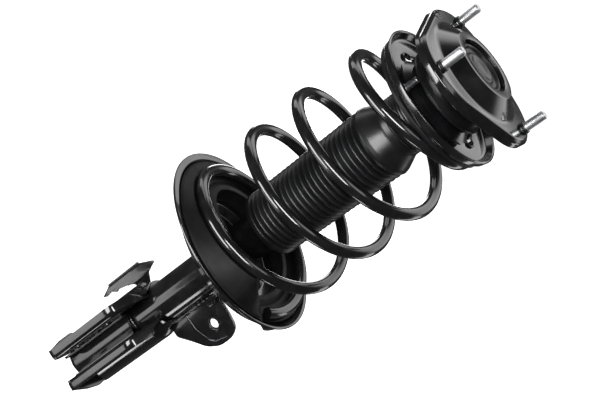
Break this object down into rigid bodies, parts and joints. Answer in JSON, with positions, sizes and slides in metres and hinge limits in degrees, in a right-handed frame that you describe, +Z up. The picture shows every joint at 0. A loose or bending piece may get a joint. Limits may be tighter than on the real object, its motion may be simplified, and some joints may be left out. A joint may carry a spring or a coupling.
{
  "type": "strut assembly",
  "caption": "Suspension strut: studded top mount and thrust bearing, coil spring on dished seats, pleated boot, damper tube, and a clamp bracket with ears for the knuckle.",
  "frame": {"origin": "centre of the stud pattern on the top face of the mounting flange, on the strut axis", "axes": "+Z up along the strut axis, out of the flange towards the stud tips; the knuckle ears point towards -Y; +X is the side with the stabiliser link eye"},
  "size_m": [0.2308, 0.2303, 0.6817],
  "materials": {
    "black_paint": "gloss",
    "spring_paint": "gloss",
    "zinc_steel": "satin",
    "dull_zinc": "satin",
    "chrome_rod": "polished",
    "plain_steel": "machined",
    "bearing_steel": "ground",
    "bronze": "sintered",
    "mount_rubber": "matte",
    "pad_rubber": "satin",
    "boot_rubber": "satin",
    "seal_rubber": "matte",
    "black_plastic": "satin",
    "cage_plastic": "satin",
    "stop_foam": "microcellular foam"
  },
  "bodies": {
    "top_mount": {"mount_plate": "black_paint", "tower_studs": "zinc_steel", "mount_rubber": "mount_rubber", "mount_inner_sleeve": "plain_steel", "clamp_washer": "plain_steel", "rod_nut": "zinc_steel", "dust_cap": "black_plastic", "bump_stop_cup": "plain_steel", "bump_stop": "stop_foam", "bearing_housing": "black_plastic", "bearing_upper_race": "bearing_steel", "piston_rod": "chrome_rod", "piston": "plain_steel", "piston_ring": "bronze", "piston_nut": "plain_steel", "rebound_stop": "seal_rubber"},
    "bearing_cage": {"ball_cage": "cage_plastic", "bearing_balls": "bearing_steel"},
    "upper_seat": {"upper_spring_seat": "black_paint", "bearing_lower_race": "bearing_steel", "seat_pin": "dull_zinc", "upper_spring_pad": "pad_rubber", "boot_cap": "boot_rubber", "dust_boot": "boot_rubber", "coil_spring": "spring_paint"},
    "strut_body": {"strut_tube": "black_paint", "tube_end_cap": "black_paint", "pressure_tube": "plain_steel", "base_valve": "plain_steel", "rod_guide": "plain_steel", "guide_bush": "bronze", "rod_seal": "seal_rubber", "closing_ring": "plain_steel", "lower_spring_seat": "black_paint", "lower_spring_pad": "pad_rubber", "knuckle_bracket": "black_paint", "bracket_stiffener": "black_paint", "stabiliser_link_bracket": "black_paint", "hose_bracket": "black_paint"}
  },
  "joints": [
    {"name": "steering_swivel", "type": "hinge", "parent": "top_mount", "child": "upper_seat", "pos_m": [0, 0, -0.033], "axis": [0, 0, 1], "range_deg": [-40, 40]},
    {"name": "strut_travel", "type": "slide", "parent": "upper_seat", "child": "strut_body", "axis": [0, 0, 1], "range_m": [0, 0.16], "stiffness_N_per_m": 24000, "springref_m": -0.05, "deforming": ["coil_spring", "dust_boot"]},
    {"name": "cage_roll", "type": "hinge", "parent": "top_mount", "child": "bearing_cage", "pos_m": [0, 0, -0.033], "axis": [0, 0, 1], "range_deg": [-21, 21]}
  ],
  "couplings": [
    {"joint": "cage_roll", "follows": "steering_swivel", "ratio": 0.5}
  ]
}
